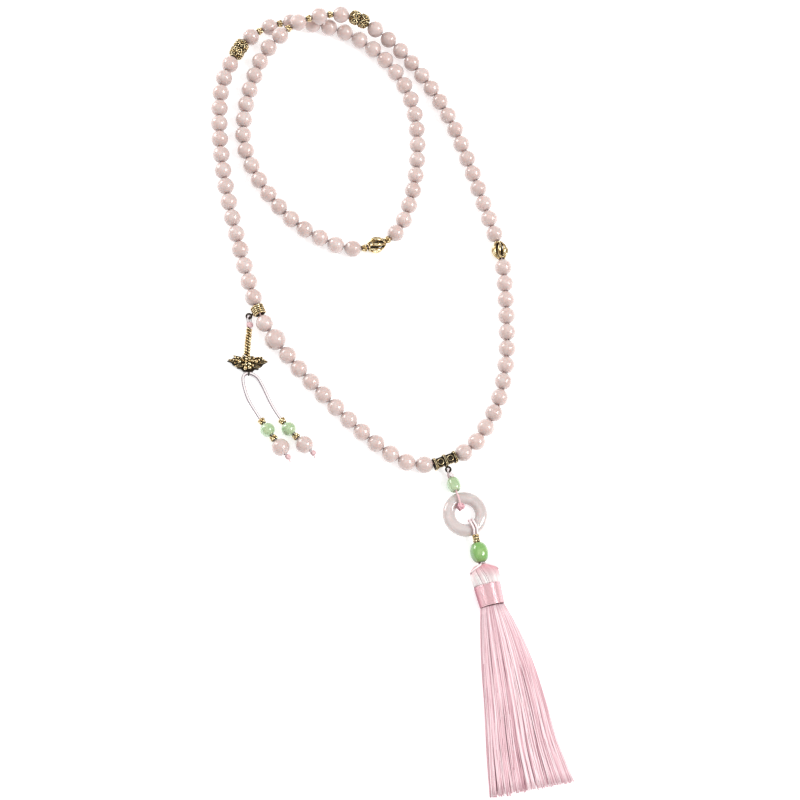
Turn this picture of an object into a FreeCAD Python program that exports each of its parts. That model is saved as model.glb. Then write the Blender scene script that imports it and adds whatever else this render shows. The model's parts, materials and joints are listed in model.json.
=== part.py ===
import FreeCAD, Part
import math
import os

V = FreeCAD.Vector

# Rose quartz prayer beads on one closed string, laid down in two loops, with a tassel pendant
# and a small counter pendant. Millimetres, +Z up from the surface that the beads lie on,
# +Y away from the tassel. The origin is under the middle of the object's box.

# ---- sizes -------------------------------------------------------------------------------
BEAD = 7.96             # a strand bead
BEAD_PITCH = 8.0        # the length of string that a strand bead takes
BEAD_HOLE = 1.6
STRING = 0.7            # the main string
SPACER = 3.4            # the small gold balls' width
SPACER_LENGTH = 2.5
SPACER_PITCH = 2.7
SPACER_HOLE = 1.3
LANTERN_WIDTH = 7.9     # the openwork melon beads
LANTERN_LENGTH = 8.5
LANTERN_PITCH = 9.2
LANTERN_WALL = 0.9
LANTERN_RIBS = 6
LANTERN_COLLAR = 1.0    # the length of the collar at each end
LANTERN_SLOT = 1.5      # the width of the opening between two ribs
BARREL_WIDTH = 7.8      # the granulated barrel beads
BARREL_LENGTH = 10.0
BARREL_PITCH = 10.3
BARREL_RIM_BALLS = 10
BARREL_RIM_BALL = 0.85  # radius
METAL_HOLE = 2.2
MARKER = 9.7            # the large bead next to the counter pendant
MARKER_PITCH = 10.0
COIL_TURNS = 5          # the wire ring that carries the counter pendant
COIL_WIRE = 1.0
COIL_RADIUS = 2.75
COIL_PITCH = 5.3
CONNECTOR_LENGTH = 10.7  # the tube that carries the main pendant
CONNECTOR_PITCH = 11.1
CONNECTOR_RING = 6.0
CONNECTOR_PANEL = 4.8
CONNECTOR_RING_LENGTH = 1.2
CONNECTOR_AXIS = V(0.924, 0.383, 0)
BAIL_RADIUS = 1.2
BAIL_WIRE = 0.7

PENDANT_CORD = 1.1
PALE_WIDTH = 6.1
PALE_LENGTH = 6.3
RING_OUTER = 20.2       # the pink stone ring
RING_HOLE = 9.0
RING_THICKNESS = 4.6
GREEN_WIDTH = 8.1       # the green bead over the tassel
GREEN_LENGTH = 9.0
ARM_CORD = 1.3          # the two cords of the counter pendant
ARM_HOLE = 1.9
ARM_GREEN = 6.5
ARM_PINK = 7.9
KNOT = 2.6
SMALL_KNOT = 2.2        # between the connector's bail and the pale bead
LARGE_KNOT = 3.0        # in the stone ring's hole
LOTUS_RING = 1.4
GAP = 0.1               # between neighbours on a cord

# ---- the string's route: control points, from the connector and back to it ----------------
STRING_ROUTE = [
    (27.7, -38.4, 4), (39.8, -32.9, 4), (52.5, -13, 4), (57.5, 11.5, 4), (57.5, 36, 4),
    (56.5, 60.5, 4), (49, 84, 4), (41.5, 107, 4), (33, 130, 4), (20.5, 151.5, 4),
    (4, 170.5, 5), (-18, 181, 11.5), (-43, 174, 12.5), (-58.5, 160.5, 4), (-66, 134.5, 4),
    (-67.5, 110, 4), (-56.5, 88, 4), (-40, 70, 4), (-14.5, 59, 4), (6.5, 68, 4),
    (14.5, 93.5, 4), (16.5, 117.5, 4), (13.5, 142, 4), (0, 162.5, 4), (-20, 175.5, 4),
    (-47.5, 178.5, 4), (-66.5, 168, 4), (-78, 144, 4), (-78.5, 119.5, 4), (-75.5, 95, 4),
    (-70, 71, 4), (-63.5, 47.5, 4), (-56.5, 24, 4.9), (-41.5, 4.5, 4.9), (-24.5, -13, 4),
    (-6.5, -29.5, 4), (8.2, -39.5, 4), (18.3, -41, 4), (27.7, -38.4, 4),
]
STRING_END_GAP = 0.4    # between the string's two ends, inside the connector

# ---- the counter pendant's two cords: from the ring under the lotus to their end knots -----
LOOP_TOP = V(-60.5, -0.95, 1.9)
LEFT_ARM = [
    (-60.85, -0.95, 1.9), (-63.2, -1.3, 1.5), (-62.6, -6.4, 0.8), (-60.4, -12.8, 1.1),
    (-58.0, -17.4, 2.9), (-51.5, -27.3, 3.7), (-43.1, -38.3, 4.3),
]
RIGHT_ARM = [
    (-60.15, -0.95, 1.9), (-57.0, -1.2, 1.5), (-53.6, -7.0, 0.8), (-50.8, -13.2, 1.2),
    (-48.0, -18.9, 3.0), (-42.3, -26.6, 3.8), (-32.2, -36.2, 4.3),
]

# ---- the main pendant ----------------------------------------------------------------------
BAIL_CENTRE = V(29.3, -42.2, 3.6)
PENDANT_KNOT = V(30.45, -44.75, 2.9)
PALE_CENTRE = V(31.7, -49.15, 3.9)
RING_CENTRE = V(36.9, -62.05, 2.35)
RING_KNOT = V(34.3, -59.2, 4.9)
OVER_RING = [(32.7, -52.93, 4.6), (33.15, -54.2, 5.75), (33.85, -56.9, 5.95)]
TIE_ROUTE = [
    (38.85, -64.9, 3.7), (39.25, -65.8, 5.5), (40.75, -68.6, 5.9), (41.0, -70.6, 5.0),
    (41.05, -71.5, 4.4), (41.1, -72.1, 4.3),
]
TIE_STEP = V(1.35, 0.5, 0)    # from one of the two tie cords to the other
TASSEL_TOP = V(41.12, -72.35, 4.3)
TASSEL_CORD_LENGTH = 12.75
TASSEL_DOWN = V(0.201, -0.979, 0.031)
TASSEL_SPACER = 3.5
TASSEL_SPACER_LENGTH = 2.5
TASSEL_KNOT = 3.2
TASSEL_KNOT_LENGTH = 0.7
TASSEL_SPACER_AT = 1.4  # along the tassel's cord
GREEN_AT = 7.25
TASSEL_KNOT_AT = 12.25
# stations of the tassel: (x, y, z, half width, half height)
HEAD = [
    (43.7, -85.0, 4.7, 1.6, 1.4), (43.9, -85.9, 4.9, 4.2, 3.7), (44.3, -87.6, 5.3, 6.0, 5.2),
    (44.8, -90.2, 5.7, 6.55, 5.6), (45.2, -92.6, 5.7, 6.3, 5.5), (45.4, -93.4, 5.7, 6.0, 5.4),
]
BAND = [
    (45.5, -93.9, 5.7, 5.95, 5.5), (46.6, -98.4, 5.5, 5.7, 5.4), (47.7, -102.8, 5.4, 5.45, 5.2),
]
SKIRT = [
    (47.8, -103.15, 5.2, 5.3, 5.0), (50.2, -111.5, 4.6, 7.9, 4.5), (53.7, -126.0, 3.9, 11.2, 3.8),
    (57.4, -145.0, 3.3, 13.8, 3.1), (60.1, -162.0, 2.8, 15.9, 2.7), (63.8, -179.0, 2.5, 18.9, 2.4),
]

# ---- the counter pendant's charm -----------------------------------------------------------
COIL_BAIL = V(-61.3, 25.5, 3.4)
COUNTER_KNOT = V(-60.9, 21.6, 2.8)
STEM_TOP = V(-60.9, 20.0, 2.6)
STEM_END = V(-61.6, 7.8, 2.2)
STEM_BALL = 1.6
STEM_ROWS = 9
LOTUS_CENTRE = V(-61.1, 3.4, 0.5)
LOTUS_THICKNESS = 2.6
# the lotus outline's corners from its centre, round from the left tip
LOTUS = [
    (-8.9, 1.0), (-6.0, 2.8), (-2.4, 2.6), (0.0, 4.0), (2.6, 3.1), (5.6, 3.7), (8.6, 1.5),
    (5.8, -0.9), (4.4, -3.3), (-2.2, -3.3), (-5.6, -1.6),
]


class Route:
    """Straight runs joined by tangent arcs, each as large as its two runs allow."""

    def __init__(self, points):
        corners = [V(p[0], p[1], p[2]) for p in points]
        self.edges, self.radii, start = [], [], corners[0]
        for before, corner, after in zip(corners, corners[1:], corners[2:]):
            back, on = before - corner, after - corner
            cut = 0.45 * min(back.Length, on.Length)
            back.normalize()
            on.normalize()
            turn = math.pi - back.getAngle(on)
            radius = cut / math.tan(turn / 2)
            middle = back + on
            middle.normalize()
            middle = corner + middle * (radius / math.cos(turn / 2) - radius)
            arc_start, arc_end = corner + back * cut, corner + on * cut
            self.edges.append(Part.LineSegment(start, arc_start).toShape())
            self.edges.append(Part.Arc(arc_start, middle, arc_end).toShape())
            self.radii.append(radius)
            start = arc_end
        self.edges.append(Part.LineSegment(start, corners[-1]).toShape())
        self.length = sum(e.Length for e in self.edges)

    def at(self, distance):
        """The point and the direction this far along the route."""
        for edge in self.edges:
            if distance <= edge.Length or edge is self.edges[-1]:
                parameter = edge.getParameterByLength(max(0.0, min(distance, edge.Length)))
                direction = edge.tangentAt(parameter)
                return edge.valueAt(parameter), direction
            distance -= edge.Length

    def tube(self, diameter):
        """A round cord along the route."""
        start, direction = self.at(0)
        ring = Part.Wire(Part.makeCircle(diameter / 2, start, direction))
        return Part.Wire(self.edges).makePipeShell([ring], True, True)

    def report(self, name, solid, diameter):
        expected = math.pi * diameter**2 / 4 * self.length
        print(f"{name}: length {self.length:.1f}, smallest radius {min(self.radii):.1f}, "
              f"volume {solid.Volume:.2f} against {expected:.2f}")


def placed(solid, centre, direction):
    """A copy of a solid made about the Z axis, moved to centre, with Z along direction."""
    copy = solid.copy()
    copy.Placement = FreeCAD.Placement(centre, FreeCAD.Rotation(V(0, 0, 1), direction))
    return copy


def drilled(solid, hole):
    """A solid with a hole of this diameter along Z, right through."""
    reach = 20
    return solid.cut(Part.makeCylinder(hole / 2, 2 * reach, V(0, 0, -reach)))


def ball(diameter, hole):
    return drilled(Part.makeSphere(diameter / 2), hole)


def flat_ball(diameter, length, hole):
    """A ball with flat ends."""
    slab = Part.makeCylinder(diameter, length, V(0, 0, -length / 2))
    return drilled(Part.makeSphere(diameter / 2).common(slab), hole)


def long_ball(width, length, hole):
    """A ball drawn out along Z."""
    top = V(0, 0, length / 2)
    outline = Part.Ellipse(top, V(width / 2, 0, 0), V(0, 0, 0))
    edges = [Part.ArcOfEllipse(outline, 0, math.pi).toShape(), Part.makeLine(-top, top)]
    solid = Part.Face(Part.Wire(edges)).revolve(V(0, 0, 0), V(0, 0, 1), 360)
    return drilled(solid, hole)


def bulged(end_radius, middle_radius, length):
    """A barrel: an arc turned round Z, with flat ends."""
    half = length / 2
    side = Part.Arc(V(end_radius, 0, -half), V(middle_radius, 0, 0), V(end_radius, 0, half))
    corners = [V(end_radius, 0, half), V(0, 0, half), V(0, 0, -half), V(end_radius, 0, -half)]
    rest = [Part.LineSegment(a, b).toShape() for a, b in zip(corners, corners[1:])]
    return Part.Face(Part.Wire([side.toShape()] + rest)).revolve(V(0, 0, 0), V(0, 0, 1), 360)


def lantern():
    """An openwork melon: a bulging shell cut into ribs, with a collar at each end."""
    cage_length = LANTERN_LENGTH - 2 * LANTERN_COLLAR
    collar_radius = METAL_HOLE / 2 + LANTERN_WALL
    slot_length = 0.68 * cage_length
    cage = bulged(collar_radius, LANTERN_WIDTH / 2, cage_length + 0.4)
    hollow = bulged(METAL_HOLE / 2, LANTERN_WIDTH / 2 - LANTERN_WALL, cage_length - 0.8)
    shell = cage.cut(hollow)
    opening = Part.makeBox(LANTERN_WIDTH, LANTERN_SLOT, slot_length,
                           V(METAL_HOLE / 2 + 0.2, -LANTERN_SLOT / 2, -slot_length / 2))
    for rib in range(LANTERN_RIBS):
        slot = opening.copy()
        slot.rotate(V(0, 0, 0), V(0, 0, 1), 360 / LANTERN_RIBS * rib)
        shell = shell.cut(slot)
    collars = Part.makeCylinder(collar_radius + 0.2, LANTERN_LENGTH, V(0, 0, -LANTERN_LENGTH / 2))
    between = Part.makeCylinder(LANTERN_WIDTH, cage_length, V(0, 0, -cage_length / 2))
    collars = collars.cut(between)
    return drilled(shell.fuse(collars), METAL_HOLE)


def barrel():
    """A flower barrel: a bulging body between two rims of small balls."""
    body = bulged(BARREL_WIDTH / 2 - 0.9, BARREL_WIDTH / 2 - 0.3, BARREL_LENGTH)
    reach = BARREL_WIDTH / 2 - BARREL_RIM_BALL
    for end in (-1, 1):
        for step in range(BARREL_RIM_BALLS):
            angle = 2 * math.pi * (step + (end > 0) / 2) / BARREL_RIM_BALLS
            centre = V(reach * math.cos(angle), reach * math.sin(angle), end * 0.34 * BARREL_LENGTH)
            body = body.fuse(Part.makeSphere(BARREL_RIM_BALL, centre))
    return drilled(body, METAL_HOLE)


def connector(axis, place):
    """A tube with three rings and two square panels, and a bail ring below its middle."""
    ring_length = CONNECTOR_RING_LENGTH
    half = CONNECTOR_LENGTH / 2
    side = CONNECTOR_PANEL
    body = Part.makeBox(side, side, CONNECTOR_LENGTH - 0.4,
                        V(-side / 2, -side / 2, -half + 0.2))
    for middle in (-half + ring_length / 2, 0, half - ring_length / 2):
        body = body.fuse(Part.makeCylinder(CONNECTOR_RING / 2, ring_length,
                                           V(0, 0, middle - ring_length / 2)))
    body = placed(drilled(body, METAL_HOLE), place, axis)
    bail = Part.makeTorus(BAIL_RADIUS, BAIL_WIRE / 2, BAIL_CENTRE, V(0, 0, 1))
    return body.fuse(bail)


def coil(place, axis, bail_centre):
    """Turns of wire round the string, with a bail ring at the side."""
    core = COIL_RADIUS - 0.1
    length = COIL_TURNS * COIL_WIRE * 0.98
    body = Part.makeCylinder(core, length - COIL_WIRE * 0.6, V(0, 0, -length / 2 + COIL_WIRE * 0.3))
    for turn in range(COIL_TURNS):
        height = (turn - (COIL_TURNS - 1) / 2) * COIL_WIRE * 0.97
        body = body.fuse(Part.makeTorus(COIL_RADIUS, COIL_WIRE / 2, V(0, 0, height)))
    body = placed(drilled(body, 2 * COIL_RADIUS - 1.3), place, axis)
    bail = Part.makeTorus(BAIL_RADIUS, BAIL_WIRE / 2, bail_centre, V(0, 0, 1))
    return body.fuse(bail)


def oval(station, direction):
    """A station's oval wire, across a horizontal direction."""
    x, y, z, half_width, half_height = station
    across = direction.cross(V(0, 0, 1))
    across.normalize()
    wide, tall = (across, V(0, 0, 1)) if half_width >= half_height else (V(0, 0, 1), across)
    long_radius, short_radius = max(half_width, half_height), min(half_width, half_height)
    centre = V(x, y, z)
    ellipse = Part.Ellipse(centre + wide * long_radius, centre + tall * short_radius, centre)
    return Part.Wire(ellipse.toShape())


def lofted(stations):
    """A closed body through oval stations."""
    wires = []
    for index, station in enumerate(stations):
        before = stations[max(0, index - 1)]
        after = stations[min(len(stations) - 1, index + 1)]
        wires.append(oval(station, V(after[0] - before[0], after[1] - before[1], 0)))
    return Part.makeLoft(wires, True, True)


def ring_stone():
    """The stone ring: an oval section turned round an upright axis."""
    section_radius = (RING_OUTER - RING_HOLE) / 4
    middle = (RING_OUTER + RING_HOLE) / 4
    half = RING_THICKNESS / 2
    oval_edge = Part.Ellipse(V(middle + section_radius, 0, 0), V(middle, 0, half), V(middle, 0, 0))
    section = Part.Face(Part.Wire(oval_edge.toShape()))
    stone = section.revolve(V(0, 0, 0), V(0, 0, 1), 360)
    stone.translate(RING_CENTRE)
    return stone


def stem():
    """A rod with two rows of small balls along it."""
    along = STEM_END - STEM_TOP
    rod = Part.makeCylinder(0.6, along.Length, STEM_TOP, along)
    for row in range(STEM_ROWS):
        centre = STEM_TOP + along * ((row + 0.5) / STEM_ROWS)
        for side in (-1, 1):
            rod = rod.fuse(Part.makeSphere(STEM_BALL / 2, centre + V(side * 0.68, 0, 0)))
    return rod


def lotus():
    """A flat lotus with a raised middle, and the ring that the two cords hang from."""
    corners = [LOTUS_CENTRE + V(x, y, 0) for x, y in LOTUS]
    leaf = Part.Face(Part.makePolygon(corners + corners[:1])).extrude(V(0, 0, LOTUS_THICKNESS))
    for x, y, radius in ((0, 0.4, 1.5), (-3.4, 0.2, 1.1), (3.5, 0.6, 1.1), (0, -2.4, 1.1)):
        leaf = leaf.fuse(Part.makeSphere(radius, LOTUS_CENTRE + V(x, y, LOTUS_THICKNESS - 0.3)))
    ring = Part.makeTorus(LOTUS_RING, BAIL_WIRE / 2, LOOP_TOP, V(1, 0, 0))
    return leaf.fuse(ring)


def strand():
    """The beads and metal pieces on the string, in order, by node name."""
    route = Route(STRING_ROUTE)
    bead, spacer = ("bead", BEAD_PITCH), ("spacer", SPACER_PITCH)

    def beads(node, count):
        return [(node, *bead)] * count

    order = (
        beads("beads_right_front", 13) + [("lantern_right", "lantern", LANTERN_PITCH)]
        + beads("beads_right_back", 16) + [("barrel_top", "barrel", BARREL_PITCH)]
        + [("beads_inner_left", *bead), ("spacers_inner_left", *spacer)] * 3
        + beads("beads_inner_left", 18) + [("spacers_inner_left", *spacer)]
        + [("lantern_inner", "lantern", LANTERN_PITCH)]
        + [("spacers_inner_right", *spacer)] + beads("beads_inner_right", 18)
        + [("spacers_inner_right", *spacer), ("beads_inner_right", *bead)] * 3
        + [("barrel_left", "barrel", BARREL_PITCH)] + beads("beads_left_back", 16)
        + [("coil_ring", "coil", COIL_PITCH)] + beads("beads_left_front", 1)
        + [("marker_bead", "marker", MARKER_PITCH)] + beads("beads_left_front", 11)
    )
    play = (route.length - CONNECTOR_PITCH - sum(p for _, _, p in order)) / (len(order) + 1)
    print(f"string {route.length:.1f}, {len(order)} pieces, play between two {play:.3f}")
    shapes = {
        "bead": ball(BEAD, BEAD_HOLE),
        "spacer": flat_ball(SPACER, SPACER_LENGTH, SPACER_HOLE),
        "lantern": lantern(),
        "barrel": barrel(),
        "marker": ball(MARKER, BEAD_HOLE),
    }
    nodes, axes = {}, {}
    along = CONNECTOR_PITCH / 2 + play
    for node, kind, pitch in order:
        centre, direction = route.at(along + pitch / 2)
        along += pitch + play
        if kind == "coil":
            solid = coil(centre, direction, COIL_BAIL)
        else:
            solid = placed(shapes[kind], centre, direction)
        nodes.setdefault(node, []).append(solid)
        axes[node] = (centre, direction)
    nodes["connector"] = [connector(CONNECTOR_AXIS, V(*STRING_ROUTE[0]))]
    axes["connector"] = (V(*STRING_ROUTE[0]), CONNECTOR_AXIS)
    return nodes, axes


def cord_of_string():
    """The string's tube, with its two ends a little apart inside the connector."""
    points = list(STRING_ROUTE)
    for end, beside in ((0, 1), (-1, -2)):
        here, there = V(*points[end]), V(*points[beside])
        step = there - here
        step.normalize()
        points[end] = tuple(here + step * (STRING_END_GAP / 2))
    route = Route(points)
    tube = route.tube(STRING)
    route.report("string", tube, STRING)
    return tube


def arm(side, points):
    """One cord of the counter pendant with its two spacers, two beads and end knot."""
    route = Route(points)
    cord = route.tube(ARM_CORD)
    route.report(f"{side} arm", cord, ARM_CORD)
    shapes = {
        "pink_bead": (ball(ARM_PINK, ARM_HOLE), ARM_PINK),
        "arm_spacers": (flat_ball(SPACER, SPACER_LENGTH, ARM_HOLE), SPACER_LENGTH),
        "green_bead": (ball(ARM_GREEN, ARM_HOLE), ARM_GREEN),
    }
    tip, direction = route.at(route.length)
    knot = f"{side}_end_knot"
    nodes = {f"{side}_arm_cord": [cord],
             knot: [Part.makeSphere(KNOT / 2, tip + direction * (KNOT / 2))]}
    axes, from_end = {}, GAP
    for kind in ("pink_bead", "arm_spacers", "green_bead", "arm_spacers"):
        shape, length = shapes[kind]
        centre, direction = route.at(route.length - from_end - length / 2)
        from_end += length + GAP
        node = f"{side}_{kind}"
        nodes.setdefault(node, []).append(placed(shape, centre, direction))
        axes[node] = (centre, direction)
    return nodes, axes


def main_pendant():
    """What hangs from the connector, down to the tassel."""
    nodes, axes = {}, {}
    down = PALE_CENTRE - PENDANT_KNOT
    down.normalize()
    nodes["pendant_knot"] = [Part.makeSphere(SMALL_KNOT / 2, PENDANT_KNOT)]
    pale = drilled(bulged(PALE_WIDTH / 2 - 1.1, PALE_WIDTH / 2, PALE_LENGTH), ARM_HOLE)
    nodes["pale_green_bead"] = [placed(pale, PALE_CENTRE, down)]
    axes["pale_green_bead"] = (PALE_CENTRE, down)
    into_knot = V(*OVER_RING[-1]) - RING_KNOT
    into_knot.normalize()
    cord = Route([PENDANT_KNOT + down * (SMALL_KNOT / 2)] + OVER_RING
                 + [RING_KNOT + into_knot * (LARGE_KNOT / 2)])
    nodes["pendant_cord"] = [cord.tube(PENDANT_CORD)]
    cord.report("pendant cord", nodes["pendant_cord"][0], PENDANT_CORD)
    nodes["ring_knot"] = [Part.makeSphere(LARGE_KNOT / 2, RING_KNOT)]
    nodes["stone_ring"] = [ring_stone()]
    axes["stone_ring"] = (RING_CENTRE, V(0, 0, 1))
    nodes["ring_ties"] = []
    for shift in (-0.5, 0.5):
        tie = Route([V(*p) + TIE_STEP * shift for p in TIE_ROUTE])
        nodes["ring_ties"].append(tie.tube(PENDANT_CORD))
    axis = TASSEL_DOWN
    nodes["tassel_cord"] = [
        Part.makeCylinder(PENDANT_CORD / 2, TASSEL_CORD_LENGTH, TASSEL_TOP, axis)
    ]
    shapes = {
        "tassel_spacer": (
            TASSEL_SPACER_AT,
            flat_ball(TASSEL_SPACER, TASSEL_SPACER_LENGTH, PENDANT_CORD + GAP),
        ),
        "green_bead": (GREEN_AT, long_ball(GREEN_WIDTH, GREEN_LENGTH, ARM_HOLE)),
        "tassel_knot": (
            TASSEL_KNOT_AT,
            flat_ball(TASSEL_KNOT, TASSEL_KNOT_LENGTH, PENDANT_CORD + GAP),
        ),
    }
    for node, (along, shape) in shapes.items():
        nodes[node] = [placed(shape, TASSEL_TOP + axis * along, axis)]
        axes[node] = (TASSEL_TOP + axis * along, axis)
    nodes["tassel_head"] = [lofted(HEAD)]
    nodes["tassel_band"] = [lofted(BAND)]
    nodes["tassel_skirt"] = [lofted(SKIRT)]
    return nodes, axes


def counter_charm():
    """The knot, stem and lotus of the counter pendant."""
    return {
        "counter_knot": [Part.makeSphere(KNOT / 2, COUNTER_KNOT)],
        "counter_stem": [stem()],
        "counter_lotus": [lotus()],
    }


def build():
    nodes, axes = strand()
    nodes["main_cord"] = [cord_of_string()]
    for side, points in (("left", LEFT_ARM), ("right", RIGHT_ARM)):
        arm_nodes, arm_axes = arm(side, points)
        nodes.update(arm_nodes)
        axes.update(arm_axes)
    pendant_nodes, pendant_axes = main_pendant()
    nodes.update(pendant_nodes)
    axes.update(pendant_axes)
    nodes.update(counter_charm())
    return nodes, axes


def write(nodes):
    os.makedirs("parts", exist_ok=True)
    box = FreeCAD.BoundBox()
    for name, solids in nodes.items():
        solid = solids[0] if len(solids) == 1 else Part.makeCompound(solids)
        solid.exportStep(f"parts/{name}.step")
        box.add(solid.BoundBox)
        if not solid.isValid():
            print(f"{name} isn't valid")
    print(f"{len(nodes)} nodes, x {box.XMin:.2f} to {box.XMax:.2f}, "
          f"y {box.YMin:.2f} to {box.YMax:.2f}, z {box.ZMin:.2f} to {box.ZMax:.2f}")


if __name__ == "__main__":
    NODES, AXES = build()
    write(NODES)
    for node_name, (centre, direction) in AXES.items():
        direction.normalize()
        print(f"axis {node_name}: {tuple(round(c, 3) for c in centre)} "
              f"{tuple(round(c, 4) for c in direction)}")
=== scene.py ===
import json
import math
import random

import bmesh
import bpy
import numpy as np
from mathutils import Matrix, Vector, noise


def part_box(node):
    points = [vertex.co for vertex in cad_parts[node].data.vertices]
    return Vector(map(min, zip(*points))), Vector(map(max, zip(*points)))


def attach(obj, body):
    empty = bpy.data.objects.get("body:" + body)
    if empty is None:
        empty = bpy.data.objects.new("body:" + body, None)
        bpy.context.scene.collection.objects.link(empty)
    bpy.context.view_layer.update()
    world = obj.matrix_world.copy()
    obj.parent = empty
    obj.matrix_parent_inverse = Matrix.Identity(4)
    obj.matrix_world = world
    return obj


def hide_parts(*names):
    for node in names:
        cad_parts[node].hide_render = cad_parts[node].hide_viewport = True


# Rose quartz prayer beads: the looks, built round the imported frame. Metres, in the frame's own
# axes; sizes below are in millimetres and are multiplied by MM where they are used.

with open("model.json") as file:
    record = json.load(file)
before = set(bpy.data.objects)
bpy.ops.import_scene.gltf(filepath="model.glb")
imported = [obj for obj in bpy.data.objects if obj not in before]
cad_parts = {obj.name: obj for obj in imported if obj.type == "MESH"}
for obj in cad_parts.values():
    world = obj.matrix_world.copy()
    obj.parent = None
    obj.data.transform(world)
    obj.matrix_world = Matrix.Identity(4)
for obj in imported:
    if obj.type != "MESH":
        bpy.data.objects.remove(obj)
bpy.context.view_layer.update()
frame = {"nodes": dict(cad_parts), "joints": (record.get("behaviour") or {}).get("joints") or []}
JOINTS = {joint["name"]: joint for joint in frame["joints"]}
SCENE = bpy.context.scene
MM = 0.001
UP = Vector((0, 0, 1))


# ---- routes, in millimetres ----
# The string's, the arms' and the ties' points are the design's, but for the string's last one:
# it stops 0.4 mm short of the first, inside the connector.
STRING_ROUTE = [
    (27.7, -38.4, 4), (39.8, -32.9, 4), (52.5, -13, 4), (57.5, 11.5, 4), (57.5, 36, 4),
    (56.5, 60.5, 4), (49, 84, 4), (41.5, 107, 4), (33, 130, 4), (20.5, 151.5, 4),
    (4, 170.5, 5), (-18, 181, 11.5), (-43, 174, 12.5), (-58.5, 160.5, 4), (-66, 134.5, 4),
    (-67.5, 110, 4), (-56.5, 88, 4), (-40, 70, 4), (-14.5, 59, 4), (6.5, 68, 4),
    (14.5, 93.5, 4), (16.5, 117.5, 4), (13.5, 142, 4), (0, 162.5, 4), (-20, 175.5, 4),
    (-47.5, 178.5, 4), (-66.5, 168, 4), (-78, 144, 4), (-78.5, 119.5, 4), (-75.5, 95, 4),
    (-70, 71, 4), (-63.5, 47.5, 4), (-56.5, 24, 4.9), (-41.5, 4.5, 4.9), (-24.5, -13, 4),
    (-6.5, -29.5, 4), (8.2, -39.5, 4), (18.3, -41, 4), (27.3, -38.5, 4),
]
LEFT_ARM = [
    (-60.85, -0.95, 1.9), (-63.2, -1.3, 1.5), (-62.6, -6.4, 0.8), (-60.4, -12.8, 1.1),
    (-58.0, -17.4, 2.9), (-51.5, -27.3, 3.7), (-43.1, -38.3, 4.3),
]
RIGHT_ARM = [
    (-60.15, -0.95, 1.9), (-57.0, -1.2, 1.5), (-53.6, -7.0, 0.8), (-50.8, -13.2, 1.2),
    (-48.0, -18.9, 3.0), (-42.3, -26.6, 3.8), (-32.2, -36.2, 4.3),
]
PENDANT_ROUTE = [
    (30.6, -45.5, 3.1), (32.7, -52.93, 4.6), (33.15, -54.2, 5.75), (33.85, -56.9, 5.95),
    (34.2, -58.6, 5.3),
]
TIE_ROUTE = [
    (38.85, -64.9, 3.7), (39.25, -65.8, 5.5), (40.75, -68.6, 5.9), (41.0, -70.6, 5.0),
    (41.05, -71.5, 4.4), (41.1, -72.1, 4.3),
]
TIE_STEP = (1.35, 0.5, 0)
TASSEL_TOP, TASSEL_DOWN, TASSEL_CORD_LENGTH = (41.12, -72.35, 4.3), (0.201, -0.979, 0.031), 12.75

# ---- sizes, in millimetres ----
BEAD, BEAD_HOLE = 7.96, 1.6
MARKER = 9.7
SPACER, SPACER_LENGTH = 3.4, 2.5
LANTERN, LANTERN_LENGTH = 7.9, 8.6
BARREL_LENGTH = 10.0
CONNECTOR_LENGTH, CONNECTOR_RING, CONNECTOR_PANEL = 10.7, 6.0, 4.8
COIL_TURNS, COIL_WIRE, COIL_RADIUS = 5, 1.0, 2.75
BAIL_RADIUS, BAIL_WIRE = 1.12, 0.9
STRING, ARM_CORD, PENDANT_CORD = 0.7, 1.4, 1.1
PALE, PALE_LENGTH = 6.1, 6.3
GREEN, GREEN_LENGTH = 8.1, 9.0
METAL_BORE = 1.1        # a radius
ARM_HOLE = 1.9
ARM_BEADS = (("pink", 7.9, ARM_HOLE), ("green", 6.5, 2.2))    # kind, diameter and hole
RING_HOLE_RADIUS = 4.5
DENT_DEPTH = 0.03
# places that the frame has no joint for: the lotus, the stem's ends in x and z, and the heights in
# y between which the tassel's head turns from the near white of its painted sheen to pink
LOTUS_AT = (-61.1, 3.4, 0.5)
STEM_TOP, STEM_END = (-60.9, 2.6), (-61.6, 2.2)
HEAD_WHITE_Y, HEAD_PINK_Y = -91.5, -85.6


# ---- meshes ----
class Shape:
    """Points and faces gathered from several parts, each with a material number."""

    def __init__(self):
        self.points, self.faces, self.numbers, self.count = [], [], [], 0

    def add(self, part, number=0, move=None):
        points, faces = part
        points = np.asarray(points, float).reshape(-1, 3)
        if move is not None:
            turn = np.array(move.to_3x3())
            points = points @ turn.T + np.array(move.translation)
        self.points.append(points)
        self.faces += [tuple(i + self.count for i in face) for face in faces]
        self.numbers += [number] * len(faces)
        self.count += len(points)
        return self

    def join(self, other, move):
        """Adds another shape, with its own material numbers."""
        self.add((np.concatenate(other.points), other.faces), 0, move)
        self.numbers[-len(other.numbers):] = other.numbers
        return self

    def piece(self, name, body, slot, materials, replaces):
        """The shape as an object that rides on a body. Its points are in millimetres."""
        mesh = bpy.data.meshes.new(name)
        mesh.from_pydata((np.concatenate(self.points) * MM).tolist(), [], self.faces)
        for material in materials:
            mesh.materials.append(material)
        mesh.polygons.foreach_set("material_index", self.numbers)
        mesh.polygons.foreach_set("use_smooth", [True] * len(self.faces))
        mesh.update()
        return settle(bpy.data.objects.new(name, mesh), body, replaces)

    def gilt(self, name, body, node):
        """The shape as a gilt casting, of gold over a dark ground that is partly patina and partly
        painted shade.
        """
        return self.piece(f"gilt_{name}", body, "antique_gold", [GOLD, PATINA_AND_SHADE], [node])

    def thread(self, name, body, material, nodes=()):
        """The shape as a piece of cord."""
        return self.piece(f"thread_{name}", body, "pink_cord", [material], nodes)


def settle(piece, body, replaces):
    """Links a piece, rides it on its body, and hides the CAD parts that it stands for."""
    SCENE.collection.objects.link(piece)
    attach(piece, body)
    if replaces:
        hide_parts(*replaces)
    return piece


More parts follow.
